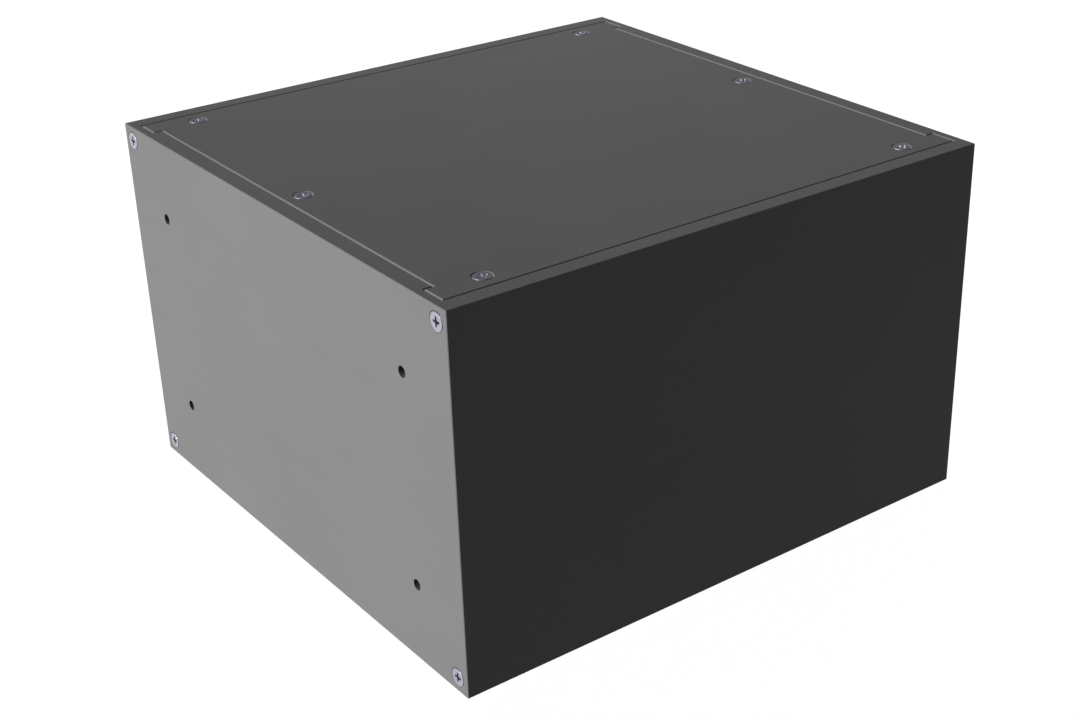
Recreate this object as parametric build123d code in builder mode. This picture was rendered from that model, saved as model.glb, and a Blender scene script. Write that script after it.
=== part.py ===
from build123d import *
import os
from math import radians, tan

# Instrument enclosure: four walls cut from one extruded aluminium bar and screwed into a
# square, a flush cover let into the top, another into the bottom, and their screws.
# Millimetres. The case stands on the XY plane, centred on the Z axis, front towards -Y.

# Outside of the closed case
case_width = 200.0
case_depth = 193.0
case_height = 122.5
edge_break = 0.2

# Extruded bar, sizes taken from its outer face
skin = 3.0
rim_width = 6.0
ledge_reach = 18.0
ledge_thickness = 4.0
bar_fillet = 0.5

# Screw port that runs along the bar behind each rim, and the slot that opens it
port_inset = 5.0
port_drop = 4.85
port_wall = 1.5
port_slot = 1.2

# Covers, the ears that fill their corners, and the lines their screws stand on
cover_thickness = 2.5
cover_edge_break = 0.3
ear_reach = 15.2
cover_screw_line = 12.8
corner_screw_inset = 20.1

# Four plain fixing holes in the left wall
fixing_hole = 3.6
fixing_pitch_y = 144.5
fixing_pitch_z = 69.0

# Countersunk screws with a cross recess
thread = 3.0
head = 5.6
head_edge = 0.43
countersink_angle = 90.0
wall_screw_length = 10.0
cover_screw_length = 6.0
recess_span = 3.2
recess_width = 0.9
recess_depth = 1.9
recess_flare = 26.5

# Countersunk holes that the screws sit in
shank_hole = 3.4
countersink_mouth = 6.5

# Clearances
cover_gap = 0.3
ledge_gap = 0.5
thread_clearance = 0.1
head_clearance = 0.02

# Worked out from the sizes above
half_width = case_width / 2
half_depth = case_depth / 2
half_height = case_height / 2
thread_hole = thread + thread_clearance
port_radius = thread_hole / 2 + port_wall
cone_slope = tan(radians(countersink_angle / 2))
head_cone = (head - thread) / 2 / cone_slope
head_sink = (countersink_mouth - head) / 2 / cone_slope - head_edge - head_clearance
recess_root = recess_span - 2 * recess_depth * tan(radians(recess_flare))

left_face = Plane(origin=(-half_width, 0, half_height), x_dir=(0, 1, 0), z_dir=(-1, 0, 0))
right_face = Plane(origin=(half_width, 0, half_height), x_dir=(0, 1, 0), z_dir=(1, 0, 0))
top_face = Plane(origin=(0, 0, case_height), x_dir=(1, 0, 0), z_dir=(0, 0, 1))
bottom_face = Plane(origin=(0, 0, 0), x_dir=(1, 0, 0), z_dir=(0, 0, -1))

port_points = [
    (across, up)
    for across in (port_inset - half_depth, half_depth - port_inset)
    for up in (port_drop - half_height, half_height - port_drop)
]
corner_screw_x = half_width - corner_screw_inset
corner_screw_y = half_depth - cover_screw_line
side_screw_x = half_width - cover_screw_line
cover_screw_points = [
    (-corner_screw_x, -corner_screw_y),
    (corner_screw_x, -corner_screw_y),
    (-side_screw_x, 0),
    (side_screw_x, 0),
    (-corner_screw_x, corner_screw_y),
    (corner_screw_x, corner_screw_y),
]


def draw_bar_section(section):
    """Bar's section: x runs inwards from the outer face, y up from mid-height."""
    seat = half_height - cover_thickness
    ledge_under = seat - ledge_thickness
    port_centre = half_height - port_drop
    Rectangle(skin, half_height, align=(Align.MIN, Align.MIN))
    with Locations((0, half_height)):
        Rectangle(rim_width, cover_thickness + ledge_thickness, align=(Align.MIN, Align.MAX))
    with Locations((0, seat)):
        Rectangle(ledge_reach, ledge_thickness, align=(Align.MIN, Align.MAX))
    with Locations((port_inset, port_centre)):
        Circle(port_radius)
    with Locations((rim_width, half_height)):
        Rectangle(ledge_reach, cover_thickness, align=(Align.MIN, Align.MAX), mode=Mode.SUBTRACT)
    rounded = [
        (skin, port_centre - port_radius),
        (port_inset + port_radius, ledge_under),
        (ledge_reach, ledge_under),
        (ledge_reach, seat),
    ]
    fillet([section.vertices().sort_by_distance(spot)[0] for spot in rounded], bar_fillet)
    mirror(about=Plane.XZ)


def draw_ports():
    """Threaded core of each screw port, with the slot that opens it to the inside."""
    with Locations((port_inset, half_height - port_drop)):
        Circle(thread_hole / 2)
        Rectangle(port_slot, port_radius + port_slot, align=(Align.CENTER, Align.MAX))
    mirror(about=Plane.XZ)


def draw_cover():
    """Outline of a cover: a plate notched along both sides, so that an ear fills each corner."""
    ear_span = case_width - 2 * (skin + cover_gap)
    Rectangle(ear_span, case_depth - 2 * (rim_width + cover_gap))
    with Locations((-ear_span / 2, 0), (ear_span / 2, 0)):
        Rectangle(2 * (rim_width - skin), case_depth - 2 * ear_reach, mode=Mode.SUBTRACT)


def countersunk_screw(length):
    """Screw that hangs down from its head, whose top is at the origin."""
    with BuildPart() as screw:
        with BuildSketch(Plane.XZ):
            with BuildLine():
                Polyline(
                    (0, 0),
                    (head / 2, 0),
                    (head / 2, -head_edge),
                    (thread / 2, -head_edge - head_cone),
                    (thread / 2, -length),
                    (0, -length),
                    close=True,
                )
            make_face()
        revolve(axis=Axis.Z)
        for wing in (Plane.XZ, Plane.YZ):
            with BuildSketch(wing):
                with BuildLine():
                    Polyline(
                        (-recess_span / 2, 0),
                        (recess_span / 2, 0),
                        (recess_root / 2, -recess_depth),
                        (-recess_root / 2, -recess_depth),
                        close=True,
                    )
                make_face()
            extrude(amount=recess_width / 2, both=True, mode=Mode.SUBTRACT)
    return screw.part


def save(piece, name):
    """Label a finished piece and write its file."""
    piece.label = name
    export_step(piece, f"parts/{name}.step")


def save_screws(screw, piece_name, face, points):
    """One screw in each countersunk hole of a face."""
    for number, point in enumerate(points, 1):
        with BuildPart(face.offset(-head_sink)) as seated:
            with Locations(point):
                add(screw)
        save(seated.part, f"{piece_name}_screw_{number}")


os.makedirs("parts", exist_ok=True)

# Bevelled slabs that break the walls' edges round the two openings
with BuildPart() as opening_bevels:
    for face in (top_face, bottom_face):
        with BuildSketch(face.offset(-edge_break)):
            draw_cover()
            offset(amount=cover_gap, kind=Kind.INTERSECTION)
        extrude(amount=edge_break, taper=-45)

# Front wall: the bar between the end walls, with a threaded hole at each end of its ledges
with BuildPart() as front_wall:
    bar_end = Plane(
        origin=(skin - half_width, -half_depth, half_height), x_dir=(0, 1, 0), z_dir=(1, 0, 0)
    )
    with BuildSketch(bar_end) as front_section:
        draw_bar_section(front_section)
    extrude(amount=case_width - 2 * skin)
    outer_edges = front_wall.edges().filter_by(Axis.X).group_by(Axis.Y)[0]
    chamfer(outer_edges, edge_break)
    with BuildSketch(bar_end):
        draw_ports()
    extrude(amount=case_width - 2 * skin, mode=Mode.SUBTRACT)
    with Locations(
        (-corner_screw_x, -corner_screw_y, case_height),
        (corner_screw_x, -corner_screw_y, case_height),
    ):
        Hole(thread_hole / 2)
    add(opening_bevels.part, mode=Mode.SUBTRACT)

# Rear wall: the same piece turned to face the back
with BuildPart() as rear_wall:
    mirror(front_wall.part, about=Plane.XZ)

# End wall: the same bar, its flanges milled back at both ends to clear the front and rear
# walls. The rim stops short of the cover's ears, and the ledge stops further in.
with BuildPart() as end_wall:
    bar_end = Plane(
        origin=(-half_width, half_depth, half_height), x_dir=(1, 0, 0), z_dir=(0, -1, 0)
    )
    with BuildSketch(bar_end) as end_section:
        draw_bar_section(end_section)
    extrude(amount=case_depth)
    with BuildSketch(bar_end):
        draw_ports()
    extrude(amount=case_depth, mode=Mode.SUBTRACT)
    with BuildSketch():
        with Locations((skin - half_width, -half_depth)):
            Rectangle(ledge_reach, ear_reach + cover_gap, align=(Align.MIN, Align.MIN))
        mirror(about=Plane.XZ)
    extrude(amount=case_height, mode=Mode.SUBTRACT)
    with BuildSketch(Plane.XY.offset(cover_thickness)):
        with Locations((skin - half_width, -half_depth)):
            Rectangle(ledge_reach, ledge_reach + ledge_gap, align=(Align.MIN, Align.MIN))
        mirror(about=Plane.XZ)
    extrude(amount=case_height - 2 * cover_thickness, mode=Mode.SUBTRACT)
    end_edges = end_wall.edges().filter_by(Axis.X).group_by(Axis.Y)
    outer_face = end_wall.faces().sort_by(Axis.X)[0]
    chamfer(outer_face.edges() + end_edges[0] + end_edges[-1], edge_break)
    with Locations(left_face):
        with Locations(*port_points):
            CounterSinkHole(shank_hole / 2, countersink_mouth / 2, skin, countersink_angle)
    with Locations((-side_screw_x, 0, case_height)):
        Hole(thread_hole / 2)
    add(opening_bevels.part, mode=Mode.SUBTRACT)

# Left wall: an end wall with four plain fixing holes
with BuildPart() as left_wall:
    add(end_wall.part)
    with Locations(left_face):
        with GridLocations(fixing_pitch_y, fixing_pitch_z, 2, 2):
            Hole(fixing_hole / 2, depth=skin)

# Right wall: a plain end wall, turned round
with BuildPart() as right_wall:
    mirror(end_wall.part, about=Plane.YZ)

# Top cover
with BuildPart() as top_cover:
    with BuildSketch(top_face):
        draw_cover()
    extrude(amount=-cover_thickness)
    chamfer(top_cover.faces().sort_by(Axis.Z)[-1].edges(), cover_edge_break)
    with Locations(top_face):
        with Locations(*cover_screw_points):
            CounterSinkHole(
                shank_hole / 2, countersink_mouth / 2, cover_thickness, countersink_angle
            )

# Bottom cover: the top cover turned over
with BuildPart() as bottom_cover:
    mirror(top_cover.part, about=Plane.XY.offset(half_height))

save(front_wall.part, "front_wall")
save(rear_wall.part, "rear_wall")
save(left_wall.part, "left_wall")
save(right_wall.part, "right_wall")
save(top_cover.part, "top_cover")
save(bottom_cover.part, "bottom_cover")

wall_screw = countersunk_screw(wall_screw_length)
cover_screw = countersunk_screw(cover_screw_length)
save_screws(wall_screw, "left_wall", left_face, port_points)
save_screws(wall_screw, "right_wall", right_face, port_points)
save_screws(cover_screw, "top_cover", top_face, cover_screw_points)
save_screws(cover_screw, "bottom_cover", bottom_face, cover_screw_points)
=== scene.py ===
from math import pi, radians, tau

import bpy
from mathutils import Euler, Matrix, Vector


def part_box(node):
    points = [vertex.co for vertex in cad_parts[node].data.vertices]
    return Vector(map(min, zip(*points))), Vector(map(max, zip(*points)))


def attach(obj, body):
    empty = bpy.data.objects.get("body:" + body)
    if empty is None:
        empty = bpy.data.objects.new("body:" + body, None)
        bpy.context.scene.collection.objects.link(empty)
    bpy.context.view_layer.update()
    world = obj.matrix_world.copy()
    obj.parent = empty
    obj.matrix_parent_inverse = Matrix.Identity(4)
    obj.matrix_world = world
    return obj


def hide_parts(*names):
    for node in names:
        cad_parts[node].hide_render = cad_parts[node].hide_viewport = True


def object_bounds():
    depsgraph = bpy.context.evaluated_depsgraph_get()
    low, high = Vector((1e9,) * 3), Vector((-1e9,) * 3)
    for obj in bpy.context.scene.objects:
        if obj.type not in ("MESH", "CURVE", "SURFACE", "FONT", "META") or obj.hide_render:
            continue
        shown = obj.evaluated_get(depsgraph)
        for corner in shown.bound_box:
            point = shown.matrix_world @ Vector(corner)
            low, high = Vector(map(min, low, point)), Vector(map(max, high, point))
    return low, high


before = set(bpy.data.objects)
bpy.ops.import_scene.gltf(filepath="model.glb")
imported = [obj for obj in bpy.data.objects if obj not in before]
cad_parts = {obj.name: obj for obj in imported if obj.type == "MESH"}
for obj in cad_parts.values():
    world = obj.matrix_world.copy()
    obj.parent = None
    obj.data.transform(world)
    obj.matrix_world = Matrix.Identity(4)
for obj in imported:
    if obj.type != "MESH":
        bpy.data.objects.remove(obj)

bl_info = {
    "name": "Instrument Enclosure",
    "version": (1, 0, 0),
    "blender": (4, 5, 0),
    "location": "3D View > Sidebar > Enclosure",
    "description": "Dresses a screwed aluminium instrument enclosure and sets up its studio",
    "category": "Object",
}

MM = 0.001
CASE_LOW, CASE_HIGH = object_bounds()

WALLS = ("front_wall", "rear_wall", "left_wall", "right_wall")
COVERS = ("top_cover", "bottom_cover")

# The pieces that carry screws, and the way the screw heads on them face
SCREW_CARRIERS = {
    "left_wall": Vector((-1, 0, 0)),
    "right_wall": Vector((1, 0, 0)),
    "top_cover": Vector((0, 0, 1)),
    "bottom_cover": Vector((0, 0, -1)),
}

# Colours, as sRGB
GREY_ANODISED = 0x323232
GREY_ANODISED_DEEP = 0x303030
ZINC_BRIGHT = 0x88868F
ZINC_VIOLET = 0x7E7C8A
# Darker zinc that paints shade down in the screws' recesses
ZINC_IN_RECESS_SHADE = 0x646269
OPAL_ACRYLIC = 0x5A5A5A
STUDIO_WHITE = 0xFFFFFF

# Width in millimetres of the camera's sensor
SENSOR_WIDTH = 36

# Attribute of the screws: how deep down in the recess a point is, from 0 to 1, by which their
# material paints shade in the recess
RECESS_DEPTH = "recess_depth"

# Sockets of the mix node, which has a set of them for each kind of value
MIX_SHARE = 0
NUMBER_FIRST, NUMBER_SECOND, NUMBER_MIXED = 2, 3, 0
COLOUR_FIRST, COLOUR_SECOND, COLOUR_MIXED = 6, 7, 2


def linear(colour):
    """Linear red, green and blue of an sRGB hex value."""
    channels = [(colour >> shift & 0xFF) / 255 for shift in (16, 8, 0)]
    return [c / 12.92 if c <= 0.04045 else ((c + 0.055) / 1.055) ** 2.4 for c in channels]


def add_node(tree, kind, inputs=(), **settings):
    """Add a node with its settings, and fill each input with a value, a link or several links."""
    node = tree.nodes.new(kind)
    for name, value in settings.items():
        setattr(node, name, value)
    for name, value in dict(inputs).items():
        links = value if isinstance(value, list) else [value]
        if isinstance(links[0], bpy.types.NodeSocket):
            for link in links:
                tree.links.new(link, node.inputs[name])
        else:
            node.inputs[name].default_value = value
    return node


def screw_nodes(carrier):
    """Names of the screws that a piece carries."""
    return sorted(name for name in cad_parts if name.startswith(f"{carrier}_screw_"))


def screw_extent(node, facing):
    """Middle of a screw's head face, and the screw's length."""
    low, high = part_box(node)
    middle, half_size = (low + high) / 2, (high - low) / 2
    half_length = abs(half_size.dot(facing))
    return middle + facing * half_length, 2 * half_length


HEAD_LOW, HEAD_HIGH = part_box("top_cover_screw_1")


class CaseFinish(bpy.types.PropertyGroup):
    """Finish of the walls and covers"""

    colour: bpy.props.FloatVectorProperty(
        name="Colour",
        description="Dyed oxide of the walls and covers",
        subtype="COLOR",
        size=3,
        min=0,
        max=1,
        default=linear(GREY_ANODISED),
    )
    deep_colour: bpy.props.FloatVectorProperty(
        name="Deep Colour",
        description="Where the dye has taken a little more",
        subtype="COLOR",
        size=3,
        min=0,
        max=1,
        default=linear(GREY_ANODISED_DEEP),
    )
    roughness: bpy.props.FloatProperty(
        name="Roughness",
        description="Roughness of the blasted surface",
        subtype="FACTOR",
        min=0,
        max=1,
        default=0.6,
    )
    specular: bpy.props.FloatProperty(
        name="Specular Level",
        description="Strength of the surface gloss",
        subtype="FACTOR",
        min=0,
        max=1,
        default=0.08,
    )
    grain: bpy.props.FloatProperty(
        name="Grain",
        description="Width of a blasted dimple",
        unit="LENGTH",
        min=0.05 * MM,
        default=0.7 * MM,
    )
    line_spacing: bpy.props.FloatProperty(
        name="Line Spacing",
        description="Distance between the faint lines that the die or the mill leaves",
        unit="LENGTH",
        min=0.1 * MM,
        default=1.2 * MM,
    )


class ScrewSizes(bpy.types.PropertyGroup):
    """Sizes and finish of the countersunk screws"""

    head: bpy.props.FloatProperty(
        name="Head Diameter",
        description="Diameter of the flat head",
        unit="LENGTH",
        min=MM,
        default=HEAD_HIGH.x - HEAD_LOW.x,
    )
    head_edge: bpy.props.FloatProperty(
        name="Head Edge",
        description="Height of the head's cylindrical edge",
        unit="LENGTH",
        min=0.05 * MM,
        default=0.43 * MM,
    )
    head_bevel: bpy.props.FloatProperty(
        name="Head Bevel",
        description="Bevel round the top of the head",
        unit="LENGTH",
        min=0,
        default=0.02 * MM,
    )
    thread: bpy.props.FloatProperty(
        name="Thread Diameter",
        description="Diameter over the crests of the thread",
        unit="LENGTH",
        min=0.5 * MM,
        default=3 * MM,
    )
    thread_depth: bpy.props.FloatProperty(
        name="Thread Depth",
        description="Height of the thread from root to crest",
        unit="LENGTH",
        min=0,
        default=0.3 * MM,
    )
    thread_pitch: bpy.props.FloatProperty(
        name="Thread Pitch",
        description="Rise of one turn of the thread",
        unit="LENGTH",
        min=0.1 * MM,
        default=0.5 * MM,
    )
    tip_bevel: bpy.props.FloatProperty(
        name="Tip Bevel",
        description="Bevel at the end of the thread",
        unit="LENGTH",
        min=0,
        default=0.4 * MM,
    )
    recess_span: bpy.props.FloatProperty(
        name="Recess Span",
        description="Length of the cross recess from tip to tip",
        unit="LENGTH",
        min=0.1 * MM,
        default=3.2 * MM,
    )
    recess_width: bpy.props.FloatProperty(
        name="Recess Width",
        description="Width of a wing of the cross recess",
        unit="LENGTH",
        min=0.1 * MM,
        default=0.8 * MM,
    )
    recess_core: bpy.props.FloatProperty(
        name="Recess Core",
        description="Diameter of the cone in the middle of the cross recess",
        unit="LENGTH",
        min=0.1 * MM,
        default=1.5 * MM,
    )
    recess_depth: bpy.props.FloatProperty(
        name="Recess Depth",
        description="Depth of the cross recess",
        unit="LENGTH",
        min=0.1 * MM,
        default=1.9 * MM,
    )
    colour: bpy.props.FloatVectorProperty(
        name="Colour",
        description="Bright zinc plate",
        subtype="COLOR",
        size=3,
        min=0,
        max=1,
        default=linear(ZINC_BRIGHT),
    )
    tint: bpy.props.FloatVectorProperty(
        name="Tint",
        description="Cloudy violet tint of the passivated zinc",
        subtype="COLOR",
        size=3,
        min=0,
        max=1,
        default=linear(ZINC_VIOLET),
    )
    # Painted shade: the darker colour of the screws down in the recess stands in for the shade
    # there, not for a thinner plate
    recess_colour: bpy.props.FloatVectorProperty(
        name="Recess Shade Colour",
        description="Thin dull plate down in the recess",
        subtype="COLOR",
        size=3,
        min=0,
        max=1,
        default=linear(ZINC_IN_RECESS_SHADE),
    )
    roughness: bpy.props.FloatProperty(
        name="Roughness",
        description="Roughness of the plated surface",
        subtype="FACTOR",
        min=0,
        max=1,
        default=0.4,
    )


class StudioSettings(bpy.types.PropertyGroup):
    """Light table, lights and camera"""

    table_colour: bpy.props.FloatVectorProperty(
        name="Table Colour",
        description="Colour of the table's opal acrylic by itself, unlit from below",
        subtype="COLOR",
        size=3,
        min=0,
        max=1,
        default=linear(OPAL_ACRYLIC),
    )
    table_light: bpy.props.FloatProperty(
        name="Table Light",
        description="Strength of the light that comes up through the table",
        subtype="FACTOR",
        min=0,
        default=0.8,
    )
    table_radius: bpy.props.FloatProperty(
        name="Table Radius",
        description="Radius of the round table",
        unit="LENGTH",
        min=1,
        default=12,
    )
    side_light: bpy.props.FloatProperty(
        name="Side Light",
        description="Strength of the soft light on the left",
        min=0,
        default=24,
    )
    side_spread: bpy.props.FloatProperty(
        name="Side Spread",
        description="Angle that the light on the left fills",
        subtype="ANGLE",
        min=0,
        default=radians(20),
    )
    side_travel: bpy.props.FloatVectorProperty(
        name="Side Travel",
        description="Way that the light on the left travels",
        subtype="DIRECTION",
        size=3,
        default=(0.9600, -0.1349, -0.2453),
    )
    back_light: bpy.props.FloatProperty(
        name="Back Light",
        description="Power in watts of the lamp that hangs behind the case",
        unit="POWER",
        min=0,
        default=3.6,
    )
    back_size: bpy.props.FloatProperty(
        name="Back Size",
        description="Diameter of the lamp behind the case",
        unit="LENGTH",
        min=0.01,
        default=0.3,
    )
    back_place: bpy.props.FloatVectorProperty(
        name="Back Place",
        description="Place of the lamp behind the case",
        subtype="TRANSLATION",
        unit="LENGTH",
        size=3,
        default=(0.2, 0.35, 0.5),
    )
    room_light: bpy.props.FloatProperty(
        name="Room Light",
        description="Strength of the even light from all round",
        subtype="FACTOR",
        min=0,
        default=0.05,
    )
    backdrop_light: bpy.props.FloatProperty(
        name="Backdrop Light",
        description="Strength of the soft light off the backdrop that the camera faces",
        subtype="FACTOR",
        min=0,
        default=0.3,
    )
    backdrop_way: bpy.props.FloatVectorProperty(
        name="Backdrop Way",
        description="Way from the case to the middle of the backdrop",
        subtype="DIRECTION",
        size=3,
        default=(0.55, 0.78, 0.3),
    )
    camera_place: bpy.props.FloatVectorProperty(
        name="Camera",
        description="Place of the camera",
        subtype="TRANSLATION",
        unit="LENGTH",
        size=3,
        default=(-0.32292, -0.45446, 0.31452),
    )
    camera_turn: bpy.props.FloatVectorProperty(
        name="Camera Turn",
        description="Pitch, roll and bearing of the camera",
        subtype="EULER",
        unit="ROTATION",
        size=3,
        default=(radians(62.795), radians(-0.6836), radians(-37.77)),
    )
    focal_length: bpy.props.FloatProperty(
        name="Focal Length",
        description="Focal length in millimetres on a 36 mm wide sensor",
        unit="CAMERA",
        min=10,
        default=60.035,
    )
    camera_shift: bpy.props.FloatVectorProperty(
        name="Camera Shift",
        description="Share of the picture's width that the view is moved by",
        size=2,
        default=(-0.06915, 0.02885),
    )


class EnclosureSettings(bpy.types.PropertyGroup):
    """All settings of the enclosure"""

    case: bpy.props.PointerProperty(type=CaseFinish)
    screws: bpy.props.PointerProperty(type=ScrewSizes)
    studio: bpy.props.PointerProperty(type=StudioSettings)


def new_material(name):
    """A material, with its tree and its surface shader."""
    material = bpy.data.materials.new(name)
    material.use_nodes = True
    tree = material.node_tree
    return material, tree, tree.nodes["Principled BSDF"]


def anodised_aluminium(name, settings, lines_along):
    """Aluminium, bead-blasted, then anodised and dyed grey.

    Blasting leaves an even matt grain with hardly any gloss, under which the lines of the die
    or the mill can only just be seen, and the dye is very slightly uneven. The real grain is
    about 0.1 mm, too fine for the picture, so it is drawn several times as coarse.
    """
    stretch = 60
    cloud_size = 40 * MM
    dye_low, dye_high = 0.1, 0.4
    roughness_spread = 0.06
    line_depth, line_strength = 0.01 * MM, 0.05
    dimple_depth, dimple_strength = 0.02 * MM, 0.15
    material, tree, surface = new_material(name)
    place = add_node(tree, "ShaderNodeTexCoord").outputs["Object"]

    across = [1 / settings.line_spacing / stretch if along else 1 / settings.line_spacing
              for along in lines_along]
    ruled = add_node(tree, "ShaderNodeMapping", {"Vector": place, "Scale": across})
    lines = add_node(
        tree, "ShaderNodeTexNoise", {"Vector": ruled.outputs[0], "Scale": 1, "Detail": 2}
    )
    grain = add_node(
        tree, "ShaderNodeTexNoise", {"Vector": place, "Scale": 1 / settings.grain, "Detail": 1}
    )
    clouds = add_node(
        tree, "ShaderNodeTexNoise", {"Vector": place, "Scale": 1 / cloud_size, "Detail": 3}
    )

    dye = add_node(
        tree, "ShaderNodeMath", {0: lines.outputs[0], 1: clouds.outputs[0]}, operation="MULTIPLY"
    )
    share = add_node(
        tree, "ShaderNodeMapRange",
        {"Value": dye.outputs[0], "From Min": dye_low, "From Max": dye_high},
    )
    colour = add_node(
        tree, "ShaderNodeMix",
        {
            MIX_SHARE: share.outputs[0],
            COLOUR_FIRST: (*settings.colour, 1),
            COLOUR_SECOND: (*settings.deep_colour, 1),
        },
        data_type="RGBA",
    )
    roughness = add_node(
        tree, "ShaderNodeMapRange",
        {
            "Value": grain.outputs[0],
            "To Min": settings.roughness - roughness_spread,
            "To Max": settings.roughness + roughness_spread,
        },
    )
    ridges = add_node(
        tree, "ShaderNodeBump",
        {"Height": lines.outputs[0], "Strength": line_strength, "Distance": line_depth},
    )
    dimples = add_node(
        tree, "ShaderNodeBump",
        {
            "Height": grain.outputs[0],
            "Strength": dimple_strength,
            "Distance": dimple_depth,
            "Normal": ridges.outputs[0],
        },
    )
    tree.links.new(colour.outputs[COLOUR_MIXED], surface.inputs["Base Color"])
    tree.links.new(roughness.outputs[0], surface.inputs["Roughness"])
    tree.links.new(dimples.outputs[0], surface.inputs["Normal"])
    surface.inputs["Specular IOR Level"].default_value = settings.specular
    return material


def zinc_plated_steel(settings):
    """Cold-headed steel, barrel-plated with zinc and passivated.

    The plate is bright but soft, with a cloudy violet cast and the shallow dents of the barrel.
    It is painted darker down in the recess, as painted shade.
    """
    cloud_size = 0.8 * MM
    cloud_low, cloud_high = 0.35, 0.65
    shade_depth = 0.3
    roughness_spread = 0.08
    dent_size = 0.35 * MM
    dent_depth, dent_strength = 0.02 * MM, 0.2
    material, tree, surface = new_material("Zinc-plated steel, passivated")
    place = add_node(tree, "ShaderNodeTexCoord").outputs["Object"]
    clouds = add_node(
        tree, "ShaderNodeTexNoise", {"Vector": place, "Scale": 1 / cloud_size, "Detail": 2}
    )
    dents = add_node(
        tree, "ShaderNodeTexNoise", {"Vector": place, "Scale": 1 / dent_size, "Detail": 1}
    )
    # Painted shade: the share of the darker recess colour, from none at the rim to all at this
    # share of the recess's depth
    sunk = add_node(tree, "ShaderNodeAttribute", attribute_name=RECESS_DEPTH).outputs["Fac"]
    dull = add_node(
        tree, "ShaderNodeMapRange", {"Value": sunk, "From Min": 0, "From Max": shade_depth}
    )
    share = add_node(
        tree, "ShaderNodeMapRange",
        {"Value": clouds.outputs[0], "From Min": cloud_low, "From Max": cloud_high},
    )
    colour = add_node(
        tree, "ShaderNodeMix",
        {
            MIX_SHARE: share.outputs[0],
            COLOUR_FIRST: (*settings.colour, 1),
            COLOUR_SECOND: (*settings.tint, 1),
        },
        data_type="RGBA",
    )
    # Painted shade: the colour turned darker down in the recess
    shaded_colour = add_node(
        tree, "ShaderNodeMix",
        {
            MIX_SHARE: dull.outputs[0],
            COLOUR_FIRST: colour.outputs[COLOUR_MIXED],
            COLOUR_SECOND: (*settings.recess_colour, 1),
        },
        data_type="RGBA",
    )
    roughness = add_node(
        tree, "ShaderNodeMapRange",
        {
            "Value": clouds.outputs[0],
            "To Min": settings.roughness - roughness_spread,
            "To Max": settings.roughness + roughness_spread,
        },
    )
    bump = add_node(
        tree, "ShaderNodeBump",
        {"Height": dents.outputs[0], "Strength": dent_strength, "Distance": dent_depth},
    )
    tree.links.new(shaded_colour.outputs[COLOUR_MIXED], surface.inputs["Base Color"])
    tree.links.new(roughness.outputs[0], surface.inputs["Roughness"])
    tree.links.new(bump.outputs[0], surface.inputs["Normal"])
    surface.inputs["Metallic"].default_value = 1
    return material


def light_table(settings):
    """Opal acrylic of a light table, matt, plain, and lit from below.

    The light that comes up through it keeps the shadows on it pale.
    """
    material, _, surface = new_material("Opal acrylic, lit from below")
    surface.inputs["Base Color"].default_value = (*settings.table_colour, 1)
    surface.inputs["Roughness"].default_value = 1
    surface.inputs["Specular IOR Level"].default_value = 0
    surface.inputs["Emission Color"].default_value = (*linear(STUDIO_WHITE), 1)
    surface.inputs["Emission Strength"].default_value = settings.table_light
    return material


def new_object(name, data):
    """Put an object that holds the data into the scene."""
    made = bpy.data.objects.new(name, data)
    bpy.context.scene.collection.objects.link(made)
    return made


def give_finish(node, finish):
    """Give a piece of the frame its material."""
    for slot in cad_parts[node].material_slots:
        slot.material = finish


SCREW_INPUTS = {
    "Seats": "NodeSocketGeometry",
    "Head Direction": "NodeSocketVector",
    "Head Radius": "NodeSocketFloat",
    "Head Bevel": "NodeSocketFloat",
    "Head Edge": "NodeSocketFloat",
    "Head Height": "NodeSocketFloat",
    "Thread Radius": "NodeSocketFloat",
    "Thread Depth": "NodeSocketFloat",
    "Thread Pitch": "NodeSocketFloat",
    "Thread Rings": "NodeSocketInt",
    "Length": "NodeSocketFloat",
    "Tip Bevel": "NodeSocketFloat",
    "Recess Span": "NodeSocketFloat",
    "Recess Root": "NodeSocketFloat",
    "Recess Width": "NodeSocketFloat",
    "Recess Core": "NodeSocketFloat",
    "Recess Depth": "NodeSocketFloat",
    "Finish": "NodeSocketMaterial",
}
HEAD_RINGS = 3
RINGS_PER_TURN = 6
SCREW_FACETS = 48
CORE_FACETS = 24
SHARP_ANGLE = radians(30)

# Span of the cross recess at its bottom, as a share of its span at the top
RECESS_ROOT_SHARE = 0.42


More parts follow.
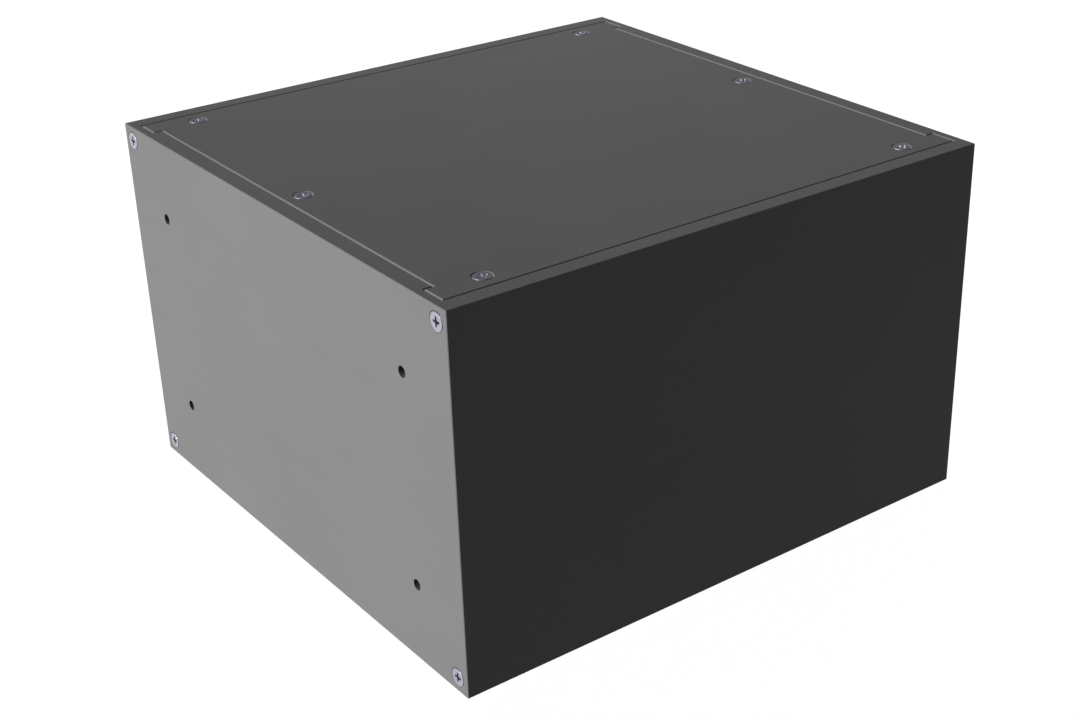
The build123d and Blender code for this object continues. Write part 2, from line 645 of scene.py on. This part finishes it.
def add_turned_blank(tree, size):
    """Turned body of a screw: a unit cylinder whose rings are moved to the screw's outline.

    Rings 0 to 3 run over the head, and the rest follow the thread down to the tip.
    """
    half_turn = 0.5
    rings = add_node(
        tree, "ShaderNodeMath", {0: size["Thread Rings"], 1: HEAD_RINGS}, operation="ADD"
    ).outputs[0]
    cylinder = add_node(
        tree, "GeometryNodeMeshCylinder",
        {"Vertices": SCREW_FACETS, "Side Segments": rings, "Radius": 1, "Depth": rings},
    ).outputs["Mesh"]
    place = add_node(
        tree, "ShaderNodeSeparateXYZ",
        {0: add_node(tree, "GeometryNodeInputPosition").outputs[0]},
    )
    half_rings = add_node(
        tree, "ShaderNodeMath", {0: rings, 1: 2}, operation="DIVIDE"
    ).outputs[0]
    ring = add_node(
        tree, "ShaderNodeMath", {0: half_rings, 1: place.outputs["Z"]}, operation="SUBTRACT"
    ).outputs[0]

    depth = add_node(
        tree, "ShaderNodeMapRange",
        {
            "Value": ring,
            "From Min": HEAD_RINGS,
            "From Max": rings,
            "To Min": size["Head Height"],
            "To Max": size["Length"],
        },
    ).outputs[0]
    turn = add_node(
        tree, "ShaderNodeMath", {0: place.outputs["Y"], 1: place.outputs["X"]},
        operation="ARCTAN2",
    ).outputs[0]
    turn_share = add_node(
        tree, "ShaderNodeMath", {0: turn, 1: tau}, operation="DIVIDE"
    ).outputs[0]
    turns_down = add_node(
        tree, "ShaderNodeMath", {0: depth, 1: size["Thread Pitch"]}, operation="DIVIDE"
    ).outputs[0]
    turns = add_node(
        tree, "ShaderNodeMath", {0: turns_down, 1: turn_share}, operation="ADD"
    ).outputs[0]
    groove = add_node(
        tree, "ShaderNodeMath", {0: turns, 1: half_turn}, operation="PINGPONG"
    ).outputs[0]
    groove_depth = add_node(
        tree, "ShaderNodeMath", {0: size["Thread Depth"], 1: 1 / half_turn}, operation="MULTIPLY"
    ).outputs[0]
    cut = add_node(
        tree, "ShaderNodeMath", {0: groove, 1: groove_depth}, operation="MULTIPLY"
    ).outputs[0]
    threaded = add_node(
        tree, "ShaderNodeMath", {0: size["Thread Radius"], 1: cut}, operation="SUBTRACT"
    ).outputs[0]
    to_tip = add_node(
        tree, "ShaderNodeMath", {0: size["Length"], 1: depth}, operation="SUBTRACT"
    ).outputs[0]
    tip_radius = add_node(
        tree, "ShaderNodeMath", {0: size["Thread Radius"], 1: size["Tip Bevel"]},
        operation="SUBTRACT",
    ).outputs[0]
    bevelled = add_node(
        tree, "ShaderNodeMath", {0: to_tip, 1: tip_radius}, operation="ADD"
    ).outputs[0]
    shank_radius = add_node(
        tree, "ShaderNodeMath", {0: threaded, 1: bevelled}, operation="MINIMUM"
    ).outputs[0]

    top_radius = add_node(
        tree, "ShaderNodeMath", {0: size["Head Radius"], 1: size["Head Bevel"]},
        operation="SUBTRACT",
    ).outputs[0]
    outline = [
        (top_radius, 0),
        (size["Head Radius"], size["Head Bevel"]),
        (size["Head Radius"], size["Head Edge"]),
        (size["Thread Radius"], size["Head Height"]),
        (shank_radius, depth),
    ]
    whole_ring = add_node(tree, "ShaderNodeMath", {0: ring}, operation="ROUND").outputs[0]
    outline_point = add_node(
        tree, "ShaderNodeMath", {0: whole_ring, 1: len(outline) - 1}, operation="MINIMUM"
    ).outputs[0]
    choice = add_node(
        tree, "GeometryNodeIndexSwitch", {"Index": outline_point}, data_type="VECTOR"
    )
    while len(choice.index_switch_items) < len(outline):
        choice.index_switch_items.new()
    for number, (radius, down) in enumerate(outline):
        point = add_node(tree, "ShaderNodeCombineXYZ", {"X": radius, "Z": down})
        tree.links.new(point.outputs[0], choice.inputs[str(number)])
    chosen = add_node(tree, "ShaderNodeSeparateXYZ", {0: choice.outputs[0]})
    across = add_node(
        tree, "ShaderNodeMath", {0: place.outputs["X"], 1: chosen.outputs["X"]},
        operation="MULTIPLY",
    ).outputs[0]
    along = add_node(
        tree, "ShaderNodeMath", {0: place.outputs["Y"], 1: chosen.outputs["X"]},
        operation="MULTIPLY",
    ).outputs[0]
    height = add_node(
        tree, "ShaderNodeMath", {0: chosen.outputs["Z"], 1: -1}, operation="MULTIPLY"
    ).outputs[0]
    moved = add_node(tree, "ShaderNodeCombineXYZ", {"X": across, "Y": along, "Z": height})
    return add_node(
        tree, "GeometryNodeSetPosition", {"Geometry": cylinder, "Position": moved.outputs[0]}
    ).outputs[0]


def add_recess_cutter(tree, size):
    """Two crossed wings and a round core, all tapered, that stand a little above the head.

    Each starts as a block one unit high, centred. The lift is a share of the recess's depth.
    """
    lift = 0.2
    root_width_share = 0.6
    place = add_node(
        tree, "ShaderNodeSeparateXYZ",
        {0: add_node(tree, "GeometryNodeInputPosition").outputs[0]},
    )
    sunk = add_node(
        tree, "ShaderNodeMapRange",
        {
            "Value": place.outputs["Z"],
            "From Min": -0.5,
            "From Max": 0.5,
            "To Min": 1,
            "To Max": -lift,
        },
        clamp=False,
    ).outputs[0]
    depth = add_node(
        tree, "ShaderNodeMath", {0: sunk, 1: size["Recess Depth"]}, operation="MULTIPLY"
    ).outputs[0]
    height = add_node(
        tree, "ShaderNodeMath", {0: depth, 1: -1}, operation="MULTIPLY"
    ).outputs[0]
    reach = add_node(
        tree, "ShaderNodeMix",
        {MIX_SHARE: sunk, NUMBER_FIRST: size["Recess Span"], NUMBER_SECOND: size["Recess Root"]},
        clamp_factor=False,
    ).outputs[NUMBER_MIXED]
    narrowing = add_node(
        tree, "ShaderNodeMix",
        {MIX_SHARE: sunk, NUMBER_FIRST: 1, NUMBER_SECOND: root_width_share},
        clamp_factor=False,
    ).outputs[NUMBER_MIXED]
    width = add_node(
        tree, "ShaderNodeMath", {0: size["Recess Width"], 1: narrowing}, operation="MULTIPLY"
    ).outputs[0]
    core = add_node(
        tree, "ShaderNodeMath", {0: size["Recess Core"], 1: narrowing}, operation="MULTIPLY"
    ).outputs[0]

    wing_block = add_node(tree, "GeometryNodeMeshCube", {"Size": (1, 1, 1)}).outputs["Mesh"]
    core_block = add_node(
        tree, "GeometryNodeMeshCylinder", {"Vertices": CORE_FACETS, "Radius": 0.5, "Depth": 1}
    ).outputs["Mesh"]
    shaped = []
    for block, scale_x, scale_y in ((wing_block, reach, width), (core_block, core, core)):
        x = add_node(
            tree, "ShaderNodeMath", {0: place.outputs["X"], 1: scale_x}, operation="MULTIPLY"
        ).outputs[0]
        y = add_node(
            tree, "ShaderNodeMath", {0: place.outputs["Y"], 1: scale_y}, operation="MULTIPLY"
        ).outputs[0]
        moved = add_node(tree, "ShaderNodeCombineXYZ", {"X": x, "Y": y, "Z": height})
        shaped.append(
            add_node(
                tree, "GeometryNodeSetPosition", {"Geometry": block, "Position": moved.outputs[0]}
            ).outputs[0]
        )
    crossed = add_node(
        tree, "GeometryNodeTransform", {"Geometry": shaped[0], "Rotation": Euler((0, 0, pi / 2))}
    ).outputs[0]
    return [*shaped, crossed]


def add_recess_depth(tree, size, screw):
    """Store on the screw how deep down in its recess each point is, by which its material paints
    shade there.
    """
    position = add_node(tree, "GeometryNodeInputPosition").outputs[0]
    height = add_node(tree, "ShaderNodeSeparateXYZ", {0: position}).outputs["Z"]
    flat = add_node(
        tree, "ShaderNodeVectorMath", {0: position, 1: (1, 1, 0)}, operation="MULTIPLY"
    )
    radius = add_node(
        tree, "ShaderNodeVectorMath", {0: flat.outputs[0]}, operation="LENGTH"
    ).outputs["Value"]
    core = add_node(
        tree, "ShaderNodeMath", {0: size["Thread Radius"], 1: size["Thread Depth"]},
        operation="SUBTRACT",
    ).outputs[0]
    inside = add_node(
        tree, "FunctionNodeCompare", {"A": radius, "B": core}, operation="LESS_THAN"
    ).outputs[0]
    depth = add_node(
        tree, "ShaderNodeMath", {0: height, 1: size["Recess Depth"]}, operation="DIVIDE"
    ).outputs[0]
    share = add_node(
        tree, "ShaderNodeMath", {0: depth, 1: -1}, operation="MULTIPLY", use_clamp=True
    ).outputs[0]
    return add_node(
        tree, "GeometryNodeStoreNamedAttribute",
        {"Geometry": screw, "Selection": inside, "Name": RECESS_DEPTH, "Value": share},
        data_type="FLOAT",
        domain="POINT",
    ).outputs[0]


def screw_tree():
    """Geometry Nodes tree that makes one countersunk screw and puts a copy on each seat."""
    tree = bpy.data.node_groups.new("Countersunk screws", "GeometryNodeTree")
    for name, kind in SCREW_INPUTS.items():
        tree.interface.new_socket(name, in_out="INPUT", socket_type=kind)
    tree.interface.new_socket("Screws", in_out="OUTPUT", socket_type="NodeSocketGeometry")
    size = add_node(tree, "NodeGroupInput").outputs
    blank = add_turned_blank(tree, size)
    screw = add_node(
        tree, "GeometryNodeMeshBoolean",
        {"Mesh 1": blank, "Mesh 2": add_recess_cutter(tree, size)},
        operation="DIFFERENCE",
        solver="EXACT",
    ).outputs["Mesh"]
    screw = add_recess_depth(tree, size, screw)
    facing = add_node(
        tree, "FunctionNodeAlignRotationToVector", {"Vector": size["Head Direction"]}, axis="Z"
    ).outputs[0]
    placed = add_node(
        tree, "GeometryNodeInstanceOnPoints",
        {"Points": size["Seats"], "Instance": screw, "Rotation": facing},
    ).outputs[0]
    real = add_node(tree, "GeometryNodeRealizeInstances", {0: placed}).outputs[0]
    finished = add_node(
        tree, "GeometryNodeSetMaterial", {"Geometry": real, "Material": size["Finish"]}
    ).outputs[0]
    add_node(tree, "NodeGroupOutput", {"Screws": finished})
    return tree


def make_screws(carrier, facing, sizes, tree, finish):
    """One piece with all the screws of a carrier, on the places of their CAD nodes."""
    nodes = screw_nodes(carrier)
    extents = [screw_extent(node, facing) for node in nodes]
    length = extents[0][1]
    head_height = sizes.head_edge + (sizes.head - sizes.thread) / 2
    turns = (length - head_height) / sizes.thread_pitch
    inputs = {
        "Head Direction": facing,
        "Head Radius": sizes.head / 2,
        "Head Bevel": sizes.head_bevel,
        "Head Edge": sizes.head_edge,
        "Head Height": head_height,
        "Thread Radius": sizes.thread / 2,
        "Thread Depth": sizes.thread_depth,
        "Thread Pitch": sizes.thread_pitch,
        "Thread Rings": round(turns * RINGS_PER_TURN),
        "Length": length,
        "Tip Bevel": sizes.tip_bevel,
        "Recess Span": sizes.recess_span,
        "Recess Root": sizes.recess_span * RECESS_ROOT_SHARE,
        "Recess Width": sizes.recess_width,
        "Recess Core": sizes.recess_core,
        "Recess Depth": sizes.recess_depth,
        "Finish": finish,
    }
    seats = bpy.data.meshes.new(f"{carrier}_seats")
    seats.from_pydata([place for place, _ in extents], [], [])
    piece = new_object(f"{carrier}_screws", seats)
    modifier = piece.modifiers.new("Screws", "NODES")
    modifier.node_group = tree
    for socket in tree.interface.items_tree:
        if socket.name in inputs:
            modifier[socket.identifier] = inputs[socket.name]
    bpy.context.view_layer.update()
    graph = bpy.context.evaluated_depsgraph_get()
    mesh = bpy.data.meshes.new_from_object(piece.evaluated_get(graph))
    piece.modifiers.remove(modifier)
    piece.data = mesh
    bpy.data.meshes.remove(seats)
    mesh.name = piece.name
    mesh.shade_smooth()
    mesh.set_sharp_from_angle(angle=SHARP_ANGLE)
    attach(piece, "root")
    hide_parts(*nodes)


def aim(lamp, travel):
    """Turn a lamp so that its light travels along a vector."""
    lamp.rotation_euler = travel.to_track_quat("-Z", "Y").to_euler()


class ENCLOSURE_OT_finish_walls(bpy.types.Operator):
    """Give the four walls their anodised finish"""

    bl_idname = "enclosure.finish_walls"
    bl_label = "Finish Walls"

    def execute(self, context):
        settings = context.scene.enclosure.case
        finish = anodised_aluminium(
            "Anodised aluminium, blasted extrusion", settings, lines_along=(True, True, False)
        )
        for wall in WALLS:
            give_finish(wall, finish)
        return {"FINISHED"}


class ENCLOSURE_OT_finish_covers(bpy.types.Operator):
    """Give the two covers their anodised finish"""

    bl_idname = "enclosure.finish_covers"
    bl_label = "Finish Covers"

    def execute(self, context):
        settings = context.scene.enclosure.case
        finish = anodised_aluminium(
            "Anodised aluminium, blasted sheet", settings, lines_along=(True, False, True)
        )
        for cover in COVERS:
            give_finish(cover, finish)
        return {"FINISHED"}


class ENCLOSURE_OT_make_screws(bpy.types.Operator):
    """Make the countersunk screws of the walls and covers"""

    bl_idname = "enclosure.make_screws"
    bl_label = "Make Screws"

    def execute(self, context):
        sizes = context.scene.enclosure.screws
        tree = screw_tree()
        finish = zinc_plated_steel(sizes)
        for carrier, facing in SCREW_CARRIERS.items():
            make_screws(carrier, facing, sizes, tree, finish)
        return {"FINISHED"}


class ENCLOSURE_OT_make_studio(bpy.types.Operator):
    """Lay the floor, hang the lights and set up the camera"""

    bl_idname = "enclosure.make_studio"
    bl_label = "Make Studio"

    def execute(self, context):
        settings = context.scene.enclosure.studio
        make_floor(settings)
        make_lights(settings)
        make_room_light(settings)
        make_camera(settings)
        context.scene.view_settings.view_transform = "Standard"
        return {"FINISHED"}


def make_floor(settings):
    """Floor under the case: the round top of a light table."""
    mesh = bpy.data.meshes.new("floor")
    corners = 96
    rim = [
        Matrix.Rotation(tau * corner / corners, 3, "Z") @ Vector((settings.table_radius, 0, 0))
        for corner in range(corners)
    ]
    level = Vector((0, 0, CASE_LOW.z))
    mesh.from_pydata([point + level for point in rim], [], [range(corners)])
    mesh.materials.append(light_table(settings))
    new_object("floor", mesh)


def make_lights(settings):
    """A low light on the left that casts no shadow, and a soft lamp hung close behind."""
    side = bpy.data.lights.new("side_light", "SUN")
    side.energy = settings.side_light
    side.angle = settings.side_spread
    side.use_shadow = False
    aim(new_object("side_light", side), Vector(settings.side_travel))
    back = bpy.data.lights.new("back_light", "AREA")
    back.energy = settings.back_light
    back.shape = "DISK"
    back.size = settings.back_size
    lamp = new_object("back_light", back)
    lamp.location = settings.back_place
    lamp.visible_camera = False
    lamp.visible_glossy = False
    aim(lamp, Vector((0, 0, CASE_HIGH.z)) - lamp.location)


def make_room_light(settings):
    """Dim light from all round, brighter off the backdrop and white along the horizon."""
    band_top = 0.12
    glow_edge = 0.5
    backdrop = Vector(settings.backdrop_way).normalized()
    world = bpy.data.worlds.new("Studio room")
    bpy.context.scene.world = world
    world.use_nodes = True
    tree = world.node_tree
    direction = add_node(tree, "ShaderNodeTexCoord").outputs["Generated"]
    height = add_node(tree, "ShaderNodeSeparateXYZ", {0: direction}).outputs["Z"]
    band = add_node(
        tree, "ShaderNodeMapRange", {"Value": height, "From Min": 0, "From Max": band_top}
    )
    towards = add_node(
        tree, "ShaderNodeVectorMath", {0: direction, 1: backdrop}, operation="DOT_PRODUCT"
    ).outputs["Value"]
    glow = add_node(
        tree, "ShaderNodeMapRange",
        {
            "Value": towards,
            "From Min": glow_edge,
            "From Max": 1,
            "To Min": settings.room_light,
            "To Max": settings.backdrop_light,
        },
        interpolation_type="SMOOTHSTEP",
    )
    colour = add_node(
        tree, "ShaderNodeMix",
        {
            MIX_SHARE: band.outputs[0],
            COLOUR_FIRST: (*linear(STUDIO_WHITE), 1),
            COLOUR_SECOND: glow.outputs[0],
        },
        data_type="RGBA",
    )
    tree.links.new(colour.outputs[COLOUR_MIXED], tree.nodes["Background"].inputs["Color"])


def make_camera(settings):
    """Camera at the viewing angle of the photograph."""
    data = bpy.data.cameras.new("camera")
    data.sensor_width = SENSOR_WIDTH
    data.lens = settings.focal_length
    data.shift_x, data.shift_y = settings.camera_shift
    camera = new_object("camera", data)
    pitch, roll, bearing = settings.camera_turn
    turn = (
        Matrix.Rotation(bearing, 4, "Z")
        @ Matrix.Rotation(pitch, 4, "X")
        @ Matrix.Rotation(roll, 4, "Z")
    )
    camera.matrix_world = Matrix.Translation(settings.camera_place) @ turn
    bpy.context.scene.camera = camera


class ENCLOSURE_PT_parts(bpy.types.Panel):
    """Pieces of the enclosure, with the settings of each"""

    bl_idname = "ENCLOSURE_PT_parts"
    bl_label = "Instrument Enclosure"
    bl_space_type = "VIEW_3D"
    bl_region_type = "UI"
    bl_category = "Enclosure"

    def draw(self, context):
        settings = context.scene.enclosure
        for title, group, operators in (
            ("Case", settings.case, (ENCLOSURE_OT_finish_walls, ENCLOSURE_OT_finish_covers)),
            ("Screws", settings.screws, (ENCLOSURE_OT_make_screws,)),
            ("Studio", settings.studio, (ENCLOSURE_OT_make_studio,)),
        ):
            box = self.layout.box()
            box.label(text=title)
            for name in group.__annotations__:
                box.prop(group, name)
            for operator in operators:
                box.operator(operator.bl_idname)


CLASSES = (
    CaseFinish,
    ScrewSizes,
    StudioSettings,
    EnclosureSettings,
    ENCLOSURE_OT_finish_walls,
    ENCLOSURE_OT_finish_covers,
    ENCLOSURE_OT_make_screws,
    ENCLOSURE_OT_make_studio,
    ENCLOSURE_PT_parts,
)


def register():
    for item in CLASSES:
        bpy.utils.register_class(item)
    bpy.types.Scene.enclosure = bpy.props.PointerProperty(type=EnclosureSettings)


def unregister():
    del bpy.types.Scene.enclosure
    for item in reversed(CLASSES):
        bpy.utils.unregister_class(item)


def main():
    register()
    bpy.ops.enclosure.finish_walls()
    bpy.ops.enclosure.finish_covers()
    bpy.ops.enclosure.make_screws()
    bpy.ops.enclosure.make_studio()


if __name__ == "__main__":
    main()
